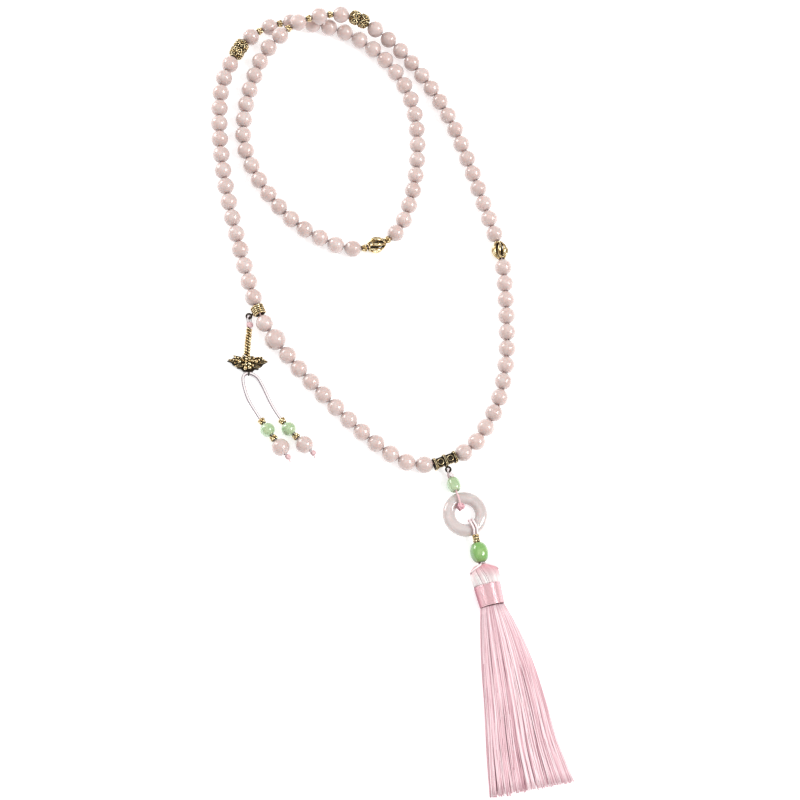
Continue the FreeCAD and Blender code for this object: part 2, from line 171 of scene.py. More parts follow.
def round_angles(count):
    """This many angles, evenly spaced round a full turn."""
    return np.arange(count) * math.tau / count


def cap_faces(rows, columns):
    """The two faces that close the ends of a grid of rows by columns points."""
    return [tuple(range(columns))[::-1], tuple(range((rows - 1) * columns, rows * columns))]


def grid_faces(rows, columns, close_rows=False):
    """The quads of a grid of rows by columns points, in which each row is a closed round."""
    faces = []
    for row in range(rows if close_rows else rows - 1):
        below, above = row * columns, (row + 1) % rows * columns
        for column in range(columns):
            after = (column + 1) % columns
            faces.append((below + column, below + after, above + after, above + column))
    return faces


def lathe(profile, segments):
    """A closed profile of (radius, z) turned round Z."""
    profile = np.array(profile, float)
    angles = round_angles(segments)
    points = np.empty((len(profile), segments, 3))
    points[:, :, 0] = profile[:, :1] * np.cos(angles)
    points[:, :, 1] = profile[:, :1] * np.sin(angles)
    points[:, :, 2] = profile[:, 1:2]
    return points.reshape(-1, 3), grid_faces(len(profile), segments, True)


def frames_along(points, closed=False):
    """Two directions across a line of points, at each of them, that don't twist."""
    points = np.asarray(points, float)
    if closed:
        along = np.roll(points, -1, 0) - np.roll(points, 1, 0)
    else:
        along = np.gradient(points, axis=0)
    along /= np.linalg.norm(along, axis=1)[:, None]
    side = np.array((0, 0, 1.0))
    if abs(side @ along[0]) > 0.9:
        side = np.array((1.0, 0, 0))
    across = np.empty_like(along)
    for i, t in enumerate(along):
        side = side - (side @ t) * t
        side /= np.linalg.norm(side)
        across[i] = side
    return across, np.cross(along, across)


def tube(points, radius, sides, closed=False):
    """A tube along points. radius may be one number or one for each point."""
    points = np.asarray(points, float)
    across, other = frames_along(points, closed)
    radius = np.broadcast_to(np.asarray(radius, float), (len(points),))
    angles = round_angles(sides)[:, None]
    ring = across[:, None] * np.cos(angles) + other[:, None] * np.sin(angles)
    skin = points[:, None] + ring * radius[:, None, None]
    faces = grid_faces(len(points), sides, closed)
    if not closed:
        faces += cap_faces(len(points), sides)
    return skin.reshape(-1, 3), faces


def ball(radius, centre=(0, 0, 0), segments=14, rings=8, squash=1.0):
    """A small ball, made of rings between two poles."""
    points, faces = [(0, 0, radius * squash)], []
    for ring in range(1, rings):
        polar = math.pi * ring / rings
        out, height = radius * math.sin(polar), radius * math.cos(polar) * squash
        for step in range(segments):
            angle = math.tau * step / segments
            points.append((out * math.cos(angle), out * math.sin(angle), height))
    points.append((0, 0, -radius * squash))
    last = len(points) - 1
    for step in range(segments):
        after = (step + 1) % segments
        faces.append((0, 1 + step, 1 + after))
        faces.append((last, last - segments + after, last - segments + step))
        for ring in range(rings - 2):
            a, b = 1 + ring * segments, 1 + (ring + 1) * segments
            faces.append((a + step, b + step, b + after, a + after))
    return np.array(points) + np.array(centre), faces


def standing(centre, axis, spin=0.0):
    """The matrix that puts a shape made about Z at centre, with its Z along axis."""
    turn = Vector(axis).normalized().to_track_quat("Z", "Y").to_matrix().to_4x4()
    return Matrix.Translation(Vector(centre)) @ turn @ Matrix.Rotation(spin, 4, "Z")


def joint_place(name):
    """A joint's place in millimetres, and its axis."""
    joint = JOINTS[name]
    return Vector(joint["pos_m"]) / MM, Vector(joint["axis"])


def solids_of(node):
    """The middle of each separate solid of a CAD node, in millimetres."""
    work = bmesh.new()
    work.from_mesh(frame["nodes"][node].data)
    bmesh.ops.remove_doubles(work, verts=work.verts, dist=0.002 * MM)
    unseen, middles = set(work.verts), []
    while unseen:
        todo, island = [unseen.pop()], []
        while todo:
            vert = todo.pop()
            island.append(vert.co.copy())
            for edge in vert.link_edges:
                other = edge.other_vert(vert)
                if other in unseen:
                    unseen.remove(other)
                    todo.append(other)
        low = Vector([min(co[i] for co in island) for i in range(3)])
        high = Vector([max(co[i] for co in island) for i in range(3)])
        middles.append((low + high) / 2 / MM)
    work.free()
    return sorted(middles, key=lambda m: (round(m.y, 2), round(m.x, 2)))


# ---- routes ----
def route_curve(name, points, diameter, resolution=10):
    """A smooth open curve with these control points, as an object that isn't linked yet."""
    curve = bpy.data.curves.new(name, "CURVE")
    curve.dimensions = "3D"
    spline = curve.splines.new("NURBS")
    spline.points.add(len(points) - 1)
    for place, point in zip(spline.points, points):
        place.co = (*(Vector(point) * MM), 1)
    spline.order_u = 3
    spline.use_endpoint_u = True
    curve.resolution_u = resolution
    curve.bevel_depth = diameter / 2 * MM
    curve.bevel_resolution = 3
    curve.use_fill_caps = True
    return bpy.data.objects.new(name, curve)


def line_of(curve_object):
    """The points that a curve follows, in millimetres."""
    bare = bpy.data.objects.new("bare", curve_object.data.copy())
    bare.data.bevel_depth = 0
    mesh = bpy.data.meshes.new_from_object(bare)
    line = np.array([v.co for v in mesh.vertices]) / MM
    bpy.data.meshes.remove(mesh)
    bpy.data.curves.remove(bare.data)
    return line


def spaced(line, step):
    """The line again, with points this far apart."""
    lengths = np.linalg.norm(np.diff(line, axis=0), axis=1)
    along = np.concatenate([[0], np.cumsum(lengths)])
    at = np.linspace(0, along[-1], max(3, int(along[-1] / step) + 1))
    return np.stack([np.interp(at, along, line[:, k]) for k in range(3)], axis=1)


def direction_near(line, point):
    """The direction of a line at its nearest point to another."""
    nearest = int(np.argmin(np.linalg.norm(line - np.array(point), axis=1)))
    a, b = line[max(0, nearest - 3)], line[min(len(line) - 1, nearest + 3)]
    return Vector(b - a).normalized()


def laid(line, diameter, pitch=2.4, groove=0.12):
    """A laid cord as one skin, with a groove between its plies that winds round the line."""
    plies, sides = 3, 18
    line = spaced(line, pitch / 14)
    across, other = frames_along(line)
    step = np.linalg.norm(np.diff(line, axis=0), axis=1)
    turn = math.tau * np.concatenate([[0], np.cumsum(step)]) / pitch
    angles = round_angles(sides)
    dip = (1 - np.cos(plies * (angles - turn[:, None]))) / 2
    reach = diameter / 2 * (1 - groove * dip ** 3)
    ring = (across[:, None] * np.cos(angles)[:, None] + other[:, None] * np.sin(angles)[:, None])
    skin = line[:, None] + ring * reach[..., None]
    faces = grid_faces(len(line), sides) + cap_faces(len(line), sides)
    return skin.reshape(-1, 3), faces


# ---- materials ----
class Finish:
    """A node material that is put together from small steps."""

    def __init__(self, name, **values):
        self.material = bpy.data.materials.new(name)
        self.material.use_nodes = True
        self.tree = self.material.node_tree
        self.shader = self.tree.nodes["Principled BSDF"]
        self.place = self.new("ShaderNodeTexCoord").outputs["Object"]
        for socket, value in values.items():
            self.shader.inputs[socket.replace("_", " ")].default_value = value

    def new(self, kind, **settings):
        node = self.tree.nodes.new(kind)
        for key, value in settings.items():
            setattr(node, key, value)
        return node

    def feed(self, value, socket):
        if isinstance(value, bpy.types.NodeSocket):
            self.tree.links.new(value, socket)
        else:
            socket.default_value = value

    def noise(self, per_mm, detail=3.0, roughness=0.5, distortion=0.0):
        node = self.new("ShaderNodeTexNoise")
        self.feed(self.place, node.inputs["Vector"])
        settings = {"Scale": per_mm / MM, "Detail": detail, "Roughness": roughness,
                    "Distortion": distortion}
        for socket, value in settings.items():
            node.inputs[socket].default_value = value
        return node.outputs["Fac"]

    def ramp(self, value, *stops):
        node = self.new("ShaderNodeValToRGB")
        self.feed(value, node.inputs["Fac"])
        places = node.color_ramp.elements
        while len(places) < len(stops):
            places.new(0.5)
        for place, (position, colour) in zip(places, stops):
            place.position = position
            if isinstance(colour, (int, float)):
                colour = (colour,) * 3
            place.color = (*colour, 1)
        return node.outputs["Color"]

    def mix(self, share, first, second, blend="MIX"):
        node = self.new("ShaderNodeMix", data_type="RGBA", blend_type=blend)
        self.feed(share, node.inputs["Factor"])
        a, b = [s for s in node.inputs if s.type == "RGBA"]
        for value, socket in ((first, a), (second, b)):
            self.feed((*value, 1) if isinstance(value, tuple) else value, socket)
        return [s for s in node.outputs if s.type == "RGBA"][0]

    def bump(self, height, depth_mm, strength):
        node = self.new("ShaderNodeBump")
        self.feed(height, node.inputs["Height"])
        node.inputs["Distance"].default_value = depth_mm * MM
        node.inputs["Strength"].default_value = strength
        self.feed(node.outputs["Normal"], self.shader.inputs["Normal"])

    def island(self):
        """A number of its own for each separate bead or thread."""
        return self.new("ShaderNodeNewGeometry").outputs["Random Per Island"]

    def crevice(self, reach_mm):
        """Ambient occlusion: near 0 in a crevice and 1 on open ground; a mask for painted shade.
        """
        node = self.new("ShaderNodeAmbientOcclusion", samples=6)
        node.inputs["Distance"].default_value = reach_mm * MM
        return node.outputs["AO"]

    def upward(self, low, high):
        """From 0 where the surface faces sideways to 1 where it faces up: the mask for painted
        shade on sides.
        """
        split = self.new("ShaderNodeSeparateXYZ")
        self.feed(self.new("ShaderNodeNewGeometry").outputs["Normal"], split.inputs[0])
        return self.ramp(split.outputs["Z"], (low, 0.0), (high, 1.0))

    def colour(self, value):
        self.feed(value, self.shader.inputs["Base Color"])


def stone_finish(name, deep, pale, vein, rim, scatter, roughness=0.26, clear=0.0):
    """A polished, cloudy stone that light sinks into, with painted shade: the rim colour where it
    faces sideways or down.
    """
    finish = Finish(name, Roughness=roughness, IOR=1.42, Subsurface_Weight=scatter,
                    Subsurface_Radius=(1.0, 0.7, 0.6), Subsurface_Scale=3.0 * MM,
                    Transmission_Weight=clear, Coat_Weight=1.0, Coat_Roughness=0.1)
    clouds = finish.noise(0.16, 4.0, 0.55, 0.6)
    body = finish.mix(finish.ramp(clouds, (0.35, 0.0), (0.68, 1.0)), deep, pale)
    threads = finish.noise(0.42, 5.0, 0.6, 2.2)
    veins = finish.ramp(threads, (0.47, 0.0), (0.5, 0.4), (0.53, 0.0))
    body = finish.mix(veins, body, vein)
    # painted shade: the rim colour where the surface faces sideways or down
    body = finish.mix(finish.upward(0.05, 0.85), rim, body)
    tone = finish.ramp(finish.island(), (0.0, 0.93), (1.0, 1.0))
    finish.colour(finish.mix(1.0, body, tone, "MULTIPLY"))
    finish.bump(finish.noise(0.9, 2.0), 0.012, 0.3)
    return finish.material


def gold_finish():
    """Gilt casting: noise patches of brown and bright gold, the brown a painted dark reflection,
    with painted shade that turns it near black in the crevices.
    """
    finish = Finish("antique_gold", Metallic=1.0)
    mottle = finish.noise(0.8, 4.0, 0.6)
    # the brown patches are painted dark reflections, scattered by noise
    bright = finish.mix(finish.ramp(mottle, (0.42, 0.0), (0.58, 1.0)),
                        (0.42, 0.27, 0.10), (0.96, 0.82, 0.52))
    # painted shade: near black where the occlusion mask finds a crevice
    open_ground = finish.ramp(finish.crevice(0.9), (0.5, 0.0), (0.88, 1.0))
    finish.colour(finish.mix(open_ground, (0.03, 0.016, 0.005), bright))
    finish.feed(finish.ramp(mottle, (0.3, 0.16), (0.75, 0.3)), finish.shader.inputs["Roughness"])
    finish.bump(finish.noise(2.2, 2.0), 0.02, 0.2)
    return finish.material


def patina_and_shade_finish():
    """The dark ground under the gilt work: partly the casting's blackened patina, partly painted
    shade in its hollows and openings.
    """
    finish = Finish("dark_patina_and_shade", Metallic=0.5)
    stain = finish.noise(1.1, 4.0, 0.65)
    finish.colour(finish.ramp(stain, (0.3, (0.008, 0.006, 0.003)), (0.8, (0.06, 0.036, 0.013))))
    finish.feed(finish.ramp(stain, (0.3, 0.5), (0.7, 0.75)), finish.shader.inputs["Roughness"])
    finish.bump(stain, 0.05, 0.6)
    return finish.material


def thread_finish(name, shade, light, gloss, lustre=0.0, side=None, turn=(0.1, 0.75),
                  sheen=0.25, top=None):
    """Spun thread: fine fibres, a soft sheen, a tone for each strand and, with side, painted shade
    where it faces sideways.

    On the tassel's head, top is the colour that the thread takes at its upper end, above the near
    white of its painted sheen.
    """
    finish = Finish(name, Roughness=gloss, Sheen_Weight=sheen, Sheen_Roughness=0.4,
                    Sheen_Tint=(1.0, 0.86, 0.88, 1), Subsurface_Weight=0.1,
                    Subsurface_Radius=(1.0, 0.6, 0.6), Subsurface_Scale=0.6 * MM,
                    Metallic=lustre)
    tone = finish.mix(finish.island(), shade, light)
    fibres = finish.noise(3.2, 3.0, 0.6)
    tone = finish.mix(finish.ramp(fibres, (0.35, 0.0), (0.65, 0.22)), tone, light)
    # painted shade: the side colour where the thread faces sideways
    if side:
        tone = finish.mix(finish.upward(*turn), side, tone)
    # on the head: near white below, a painted sheen, turning to the top colour above
    if top:
        split = finish.new("ShaderNodeSeparateXYZ")
        finish.feed(finish.place, split.inputs[0])
        height = finish.new("ShaderNodeMapRange")
        finish.feed(split.outputs["Y"], height.inputs["Value"])
        height.inputs["From Min"].default_value = HEAD_WHITE_Y * MM
        height.inputs["From Max"].default_value = HEAD_PINK_Y * MM
        tone = finish.mix(height.outputs["Result"], tone, top)
    finish.colour(tone)
    finish.bump(fibres, 0.05, 0.5)
    return finish.material


# each stone's fourth colour is its painted shade where it faces sideways or down
QUARTZ = stone_finish("rose_quartz", (0.65, 0.49, 0.45), (0.70, 0.58, 0.55),
                      (0.82, 0.74, 0.71), (0.54, 0.43, 0.41), 0.6)
RING_STONE = stone_finish("pale_quartz", (0.69, 0.60, 0.58), (0.78, 0.71, 0.69),
                          (0.92, 0.87, 0.86), (0.66, 0.58, 0.57), 0.5, 0.14, 0.2)
GREEN_STONE = stone_finish("green_jade", (0.19, 0.44, 0.11), (0.33, 0.53, 0.18),
                           (0.48, 0.70, 0.32), (0.15, 0.30, 0.13), 0.35, 0.14)
PALE_STONE = stone_finish("pale_jade", (0.42, 0.60, 0.33), (0.60, 0.72, 0.45),
                          (0.78, 0.84, 0.60), (0.30, 0.50, 0.26), 0.4, 0.14, 0.12)
GOLD = gold_finish()
# the dark ground under the gilt: partly patina, partly painted shade in hollows and openings
PATINA_AND_SHADE = patina_and_shade_finish()
# each cord's side colour is its painted shade where it faces sideways
CORD = thread_finish("pink_cord", (0.80, 0.50, 0.52), (0.94, 0.72, 0.72), 0.5,
                     side=(0.42, 0.20, 0.22))
KNOT_CORD = thread_finish("rose_cord", (0.78, 0.36, 0.42), (0.97, 0.70, 0.73), 0.5,
                          side=(0.36, 0.12, 0.16), turn=(0.2, 0.8))
PALE_CORD = thread_finish("pale_cord", (0.86, 0.79, 0.79), (0.95, 0.92, 0.91), 0.5,
                          side=(0.17, 0.10, 0.135), turn=(0.68, 0.9), sheen=0.0)
TIE_CORD = thread_finish("white_cord", (0.90, 0.80, 0.80), (0.98, 0.93, 0.92), 0.5,
                         side=(0.52, 0.30, 0.32), turn=(0.3, 0.8), sheen=0.0)
# silk_light and silk_deep are lit and shaded copies of the silk: painted highlight and shade
# streaks, given to threads at random
SILKS = [
    thread_finish("silk_mid", (0.80, 0.48, 0.53), (0.95, 0.68, 0.72), 0.32, 0.08),
    thread_finish("silk_light", (0.93, 0.70, 0.73), (1.0, 0.84, 0.86), 0.32, 0.08),
    thread_finish("silk_deep", (0.52, 0.25, 0.30), (0.76, 0.46, 0.51), 0.32, 0.08),
]
# the head's near-white colours are a painted sheen, turning to the top pink at its upper end
HEAD_SILK = thread_finish("head_silk", (0.82, 0.64, 0.65), (1.0, 0.96, 0.94), 0.34, 0.1,
                          top=(0.80, 0.38, 0.43))
# side is the band's painted shade at its sideways-facing edges
SATIN = thread_finish("satin_thread", (0.86, 0.50, 0.54), (1.0, 0.92, 0.92), 0.26, 0.6,
                      side=(0.42, 0.15, 0.20), turn=(0.2, 0.62), sheen=0.0)
SILK_SHADE = thread_finish("silk_shade", (0.34, 0.15, 0.19), (0.46, 0.24, 0.28), 0.6)
SATIN_SHADE = thread_finish("satin_shade", (0.50, 0.24, 0.28), (0.62, 0.34, 0.38), 0.5)


# ---- the camera, the lights and the floor ----
CAMERA_AT = Vector((-82.5, -192.85, 600.0)) * MM
CAMERA_DOWN = math.radians(71.2)    # below the horizon
CAMERA_YAW = math.radians(-26.32)
CAMERA_ROLL = math.radians(27.6)
CAMERA_LENS, CAMERA_SENSOR = 63.0, 36.0
WORLD_STRENGTH = 0.43
FLOOR_REACH = 3.0
PAPER_GLOW = 0.45


def camera_axes():
    """The camera's right, up and back directions in the frame's axes."""
    right = Vector((math.cos(CAMERA_YAW), math.sin(CAMERA_YAW), 0))
    level = Vector((-math.sin(CAMERA_YAW), math.cos(CAMERA_YAW), 0))
    ahead = level * math.cos(CAMERA_DOWN) - UP * math.sin(CAMERA_DOWN)
    up = level * math.sin(CAMERA_DOWN) + UP * math.cos(CAMERA_DOWN)
    cos, sin = math.cos(CAMERA_ROLL), math.sin(CAMERA_ROLL)
    return right * cos + up * sin, up * cos - right * sin, -ahead


def add_camera():
    """The camera, which looks steeply down at the beads."""
    right, up, back = camera_axes()
    data = bpy.data.cameras.new("camera")
    data.lens, data.sensor_width = CAMERA_LENS, CAMERA_SENSOR
    data.clip_start, data.clip_end = 0.01, 20
    camera = bpy.data.objects.new("camera", data)
    turn = Matrix((right, up, back)).transposed().to_4x4()
    camera.matrix_world = Matrix.Translation(CAMERA_AT) @ turn
    SCENE.collection.objects.link(camera)
    SCENE.camera = camera


def add_light(name, towards, distance, size, power):
    """A soft square light in the direction towards, which looks at the object's middle."""
    data = bpy.data.lights.new(name, "AREA")
    data.shape, data.size, data.energy = "SQUARE", size, power
    light = bpy.data.objects.new(name, data)
    light.matrix_world = standing(towards.normalized() * distance, towards)
    SCENE.collection.objects.link(light)


def add_lights():
    """A key light, a rim light and a faint one from above, in a pale studio."""
    right, up, back = camera_axes()
    add_light("key_light", right * 0.73 + up * 0.09 + back * 0.67, 2.8, 1.25, 54)
    add_light("rim_light", right * -0.76 + up * 0.63 + back * 0.22, 2.8, 1.25, 38)
    add_light("top_light", UP + right * -0.2, 2.4, 2.1, 12)
    world = bpy.data.worlds.new("studio")
    world.use_nodes = True
    background = world.node_tree.nodes["Background"]
    background.inputs["Color"].default_value = (1, 1, 1, 1)
    background.inputs["Strength"].default_value = WORLD_STRENGTH
    SCENE.world = world
    SCENE.view_settings.view_transform = "Standard"


def add_floor():
    """A plain pale floor."""
    mesh = bpy.data.meshes.new("floor")
    corners = [(x * FLOOR_REACH, y * FLOOR_REACH, 0)
               for x, y in ((-1, -1), (1, -1), (1, 1), (-1, 1))]
    mesh.from_pydata(corners, [], [(0, 1, 2, 3)])
    finish = Finish("floor_paper", Roughness=0.9, Emission_Strength=PAPER_GLOW,
                    Emission_Color=(1, 1, 1, 1))
    grain = finish.noise(0.3, 2.0)
    finish.colour(finish.ramp(grain, (0.3, (0.93, 0.93, 0.93)), (0.7, (0.95, 0.95, 0.95))))
    mesh.materials.append(finish.material)
    floor = bpy.data.objects.new("floor", mesh)
    SCENE.collection.objects.link(floor)


add_camera()
add_lights()
add_floor()


string = route_curve("main_string", STRING_ROUTE, STRING)
string.data.materials.append(CORD)
settle(string, "strand", ["main_cord"])
STRING_LINE = line_of(string)


def bead_profile(diameter, hole):
    """A drilled bead's closed outline: a round outside, a soft rim at each end and the hole."""
    radius, bore, rim = diameter / 2, hole / 2, 0.16
    start = math.asin((bore + rim) / radius)
    outside = [(radius * math.sin(a), radius * math.cos(a))
               for a in np.linspace(start, math.pi - start, 22)]
    top = outside[0][1]
    lip = [(bore + rim * (1 - math.sin(a)), top - 0.02 - rim * (1 - math.cos(a)))
           for a in np.linspace(0.3, math.pi / 2, 4)]
    hole_side = [(bore, z) for z in (top * 0.5, 0, -top * 0.5)]
    under = [(r, -z) for r, z in reversed(lip)]
    return [*lip[::-1], *outside, *under[::-1], *hole_side[::-1]]


def bead_group(name, body, node, middles, diameter, hole, line, seed, material=QUARTZ,
               slot="rose_quartz"):
    """Drilled stone beads of one CAD node as one piece, each a little different."""
    shape, draw = Shape(), random.Random(seed)
    points, faces = lathe(bead_profile(diameter, hole), 36)
    unit = points / np.linalg.norm(points, axis=1)[:, None]
    for middle in middles:
        shift = Vector([draw.uniform(-50, 50) for _ in range(3)])
        dents = np.array([noise.noise(Vector(p) * 1.7 + shift) for p in unit])
        skin = points - unit * (DENT_DEPTH * (dents[:, None] + 0.6).clip(0))
        axis = direction_near(line, middle)
        shape.add((skin, faces), 0, standing(middle, axis, draw.uniform(0, math.tau)))
    return shape.piece(name, body, slot, [material], [node])


def add_string_beads():
    """The plain beads, one piece for each CAD node, and the larger marker bead."""
    plain = [node for node in sorted(frame["nodes"]) if node.startswith("beads_")]
    for seed, node in enumerate(plain):
        bead_group(f"quartz_{node}", "strand", node, solids_of(node), BEAD, BEAD_HOLE,
                   STRING_LINE, seed)
    bead_group("quartz_marker", "marker_bead", "marker_bead",
               [joint_place("marker_bead_spin")[0]], MARKER, BEAD_HOLE, STRING_LINE, 20)


add_string_beads()


# ---- gilt pieces ----
def granules(shape, radius, height, count, size, turn=0.0):
    """A ring of little balls round Z."""
    for step in range(count):
        angle = math.tau * (step + turn) / count
        centre = (radius * math.cos(angle), radius * math.sin(angle), height)
        shape.add(ball(size, centre, 12, 7))


def hoop(radius, wire, height=0.0, steps=40, axis="Z", bulge=0.0):
    """A ring of wire, which can bulge towards four corners."""
    turn = round_angles(steps)
    reach = radius * (1 + bulge * np.cos(4 * turn - math.pi))
    points = np.stack([reach * np.cos(turn), reach * np.sin(turn), np.full(steps, height)], 1)
    if axis == "X":
        points = points[:, (2, 0, 1)]
    return tube(points, wire / 2, 10, closed=True)


def sleeve(outer, inner, length, segments=32):
    """A short tube with softened edges, round Z."""
    half, edge = length / 2, 0.12
    profile = [(inner, half), (outer - edge, half), (outer, half - edge), (outer, -half + edge),
               (outer - edge, -half), (inner, -half)]
    return lathe(profile, segments)


def granulated_spacer(hole=1.3):
    """A small bead of two rings of granules on a sleeve."""
    shape, size = Shape(), 0.82
    shape.add(sleeve(SPACER / 2 - 0.7, hole / 2, SPACER_LENGTH - 0.1, 20), 1)
    for end in (-1, 1):
        granules(shape, SPACER / 2 - size + 0.06, end * 0.5, 4, size, turn=end * 0.25)
    return shape


def add_spacers(node, body, part, line):
    """Copies of one gilt shape at each solid of a CAD node, set along a line."""
    shape = Shape()
    for count, middle in enumerate(solids_of(node)):
        shape.join(part, standing(middle, direction_near(line, middle), count * 0.7))
    shape.gilt(node, body, node)


def lantern_shape():
    """An openwork melon: almond-shaped ribs from collar to collar, over a dark sleeve."""
    shape = Shape()
    ribs, cage, collar, twist = 7, LANTERN_LENGTH - 1.4, 1.5, 0.4
    rise = np.linspace(-1, 1, 21)
    swell = np.cos(rise * math.pi / 2)
    thick = 0.3 + 0.5 * swell
    reach = collar + (LANTERN / 2 - 0.8 - collar) * swell ** 0.8
    for rib in range(ribs):
        angle = math.tau * rib / ribs + twist * rise
        points = np.stack([reach * np.cos(angle), reach * np.sin(angle), rise * cage / 2], 1)
        shape.add(tube(points, thick, 10))
    # the dark sleeve under the ribs, seen through the openwork: partly patina, partly painted
    # shade
    shape.add(sleeve(collar, METAL_BORE, LANTERN_LENGTH - 0.4), 1)
    for end in (-1, 1):
        height = end * (LANTERN_LENGTH / 2 - 0.4)
        shape.add(hoop(1.6, 0.8, height))
        granules(shape, 1.95, height - end * 0.6, 8, 0.42)
    return shape


def barrel_shape():
    """Two flared flower halves that meet at a narrower waist, with balls between petals."""
    shape, petals, half = Shape(), 8, BARREL_LENGTH / 2
    profile = [(1.12, half - 0.1), (1.9, half - 0.1), (2.7, half - 1.4), (3.0, half - 2.6),
               (2.5, 0), (3.0, 2.6 - half), (2.7, 1.4 - half), (1.9, 0.1 - half),
               (1.12, 0.1 - half)]
    shape.add(lathe(profile, 32), 1)
    for end in (-1, 1):
        for step in range(petals):
            angle = math.tau * (step + 0.25 * end) / petals
            place = (Matrix.Rotation(angle, 4, "Z") @ Matrix.Translation((3.05, 0, end * 2.3))
                     @ Matrix.Rotation(-0.1 * end, 4, "Y"))
            turn = round_angles(20)
            width = 0.95 + 0.2 * np.cos(turn) * end
            petal_edge = np.stack([0.12 * np.cos(turn * 2), width * np.sin(turn),
                                   1.35 * np.cos(turn)], 1)
            shape.add(tube(petal_edge, 0.3, 8, closed=True), 0, place)
            shape.add(ball(0.48, (0.1, 0, 0.1 * end), 12, 7), 0, place)
        granules(shape, 2.75, end * 0.62, 12, 0.5, turn=0.25 * end)
        granules(shape, 2.4, end * (half - 0.95), 11, 0.46, turn=0.5)
        shape.add(hoop(1.7, 0.7, end * (half - 0.36)))
    return shape


def connector_shape():
    """The tube of the main pendant: three flared collars and two panels of pierced squares."""
    shape = Shape()
    half, side = CONNECTOR_LENGTH / 2, CONNECTOR_PANEL / 2 - 0.2
    collar, wide = CONNECTOR_RING / 2 - 0.2, 0.55
    shape.add(sleeve(1.75, METAL_BORE, CONNECTOR_LENGTH - 0.3), 1)
    for middle in (wide - half, 0, half - wide):
        place = Matrix.Translation((0, 0, middle))
        shape.add(sleeve(collar - 0.25, METAL_BORE, 2 * wide, 40), 1, place)
        for shift in (-0.3, 0.3):
            shape.add(hoop(collar, 0.34, middle + shift, 48, bulge=0.1))
    reach = (half - 3 * wide - 0.2) / 2
    for panel in (-1, 1):
        centre = panel * (wide + 0.1 + reach)
        for face in range(4):
            turn = Matrix.Rotation(face * math.pi / 2, 4, "Z")
            place = turn @ Matrix.Translation((side - 0.3, 0, centre))
            corners = np.array([(0, -1, -1), (0, -1, 1), (0, 1, 1), (0, 1, -1)]) * reach
            square = corners * 0.9
            sides = [np.linspace(a, b, 6)[:-1] for a, b in zip(square, np.roll(square, -1, 0))]
            shape.add(tube(np.concatenate(sides), 0.14, 8, closed=True), 1, place)
            shape.add(hoop(1.3, 0.34, axis="X"), 0, place)
            # a dark plate behind each pierced square: painted shade in its opening
            shape.add((corners - (0.5, 0, 0), [(0, 3, 2, 1)]), 1, place)
    return shape


def add_bail(shape, bail, towards):
    """A dark wire ring at bail, in mm, with a short neck to the piece that holds it."""
    bail, towards = Vector(bail), Vector(towards)
    shape.add(hoop(BAIL_RADIUS, BAIL_WIRE, steps=36), 1, Matrix.Translation(bail))
    step = (towards - bail).normalized()
    neck = [bail + step * reach for reach in (BAIL_RADIUS, BAIL_RADIUS + 0.7, BAIL_RADIUS + 1.4)]
    shape.add(tube(neck, [0.42, 0.55, 0.75], 10), 1)


def coil_shape():
    """Turns of round wire with their ends tucked in."""
    shape = Shape()
    lead, pitch = COIL_WIRE * 0.98, COIL_WIRE * 0.98 * 0.93
    turn = np.linspace(0, COIL_TURNS - 0.35, int(COIL_TURNS * 36))
    tuck = np.clip(np.minimum(turn, turn[-1] - turn) / 0.12, 0, 1)
    reach = COIL_RADIUS - 0.45 * (1 - tuck)
    wire = np.stack([reach * np.cos(turn * math.tau), reach * np.sin(turn * math.tau),
                     (turn - turn[-1] / 2) * pitch], 1)
    shape.add(tube(wire, COIL_WIRE * 0.36, 10))
    shape.add(sleeve(COIL_RADIUS - 0.1, COIL_RADIUS - 0.35, COIL_TURNS * lead - 0.9), 1)
    return shape


def add_string_gilt():
    """The gilt beads and spacers on the string."""
    spins = {"lantern_right": 0.4, "lantern_inner": 0.1, "barrel_top": 0.3, "barrel_left": 0.9}
    for name, spin in spins.items():
        shape = lantern_shape() if name.startswith("lantern") else barrel_shape()
        place = standing(*joint_place(f"{name}_spin"), spin)
        Shape().join(shape, place).gilt(name, name, name)
    for node in ("spacers_inner_left", "spacers_inner_right"):
        add_spacers(node, "strand", granulated_spacer(), STRING_LINE)


def add_hanger(name, body, node, shape, pendant):
    """A gilt piece on the string with the bail that its pendant hangs in."""
    middle, axis = joint_place(f"{pendant}_lift")
    bail = joint_place(f"{pendant}_swing")[0]
    hanger = Shape().join(shape, standing(middle, axis))
    add_bail(hanger, bail, (middle.x, middle.y, bail.z))
    hanger.gilt(name, body, node)


add_string_gilt()
add_hanger("connector", "connector", "connector", connector_shape(), "pendant")
add_hanger("coil", "counter_ring", "coil_ring", coil_shape(), "counter")


# ---- knots and cords of the pendants ----
def node_middle(node):
    """The middle of a CAD node's box, in millimetres."""
    low_corner, high_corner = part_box(node)
    return (low_corner + high_corner) / 2 / MM


def add_loop(name, body, knot_node, material):
    """The cord's loop through the bail that its body swings in, down to the knot under it."""
    bail, knot = joint_place(f"{body}_swing")[0], node_middle(knot_node)
    away = (knot - bail).normalized()
    side = Vector((-away.y, away.x, 0)) * 0.75
    hooked = bail + away * BAIL_RADIUS
    route = [knot - side * 0.5, hooked - side * 1.1, hooked - away * 0.95 - side * 0.5 + UP * 0.6,
             hooked - away * 1.1 + UP * 0.1, hooked - away * 0.95 + side * 0.5 - UP * 0.6,
             hooked + side * 1.1, knot + side * 0.5]
    line = line_of(route_curve(f"{name}_route", route, 0.8, 14))
    Shape().add(laid(line, 1.0, pitch=1.8, groove=0.25)).thread(name, body, material)


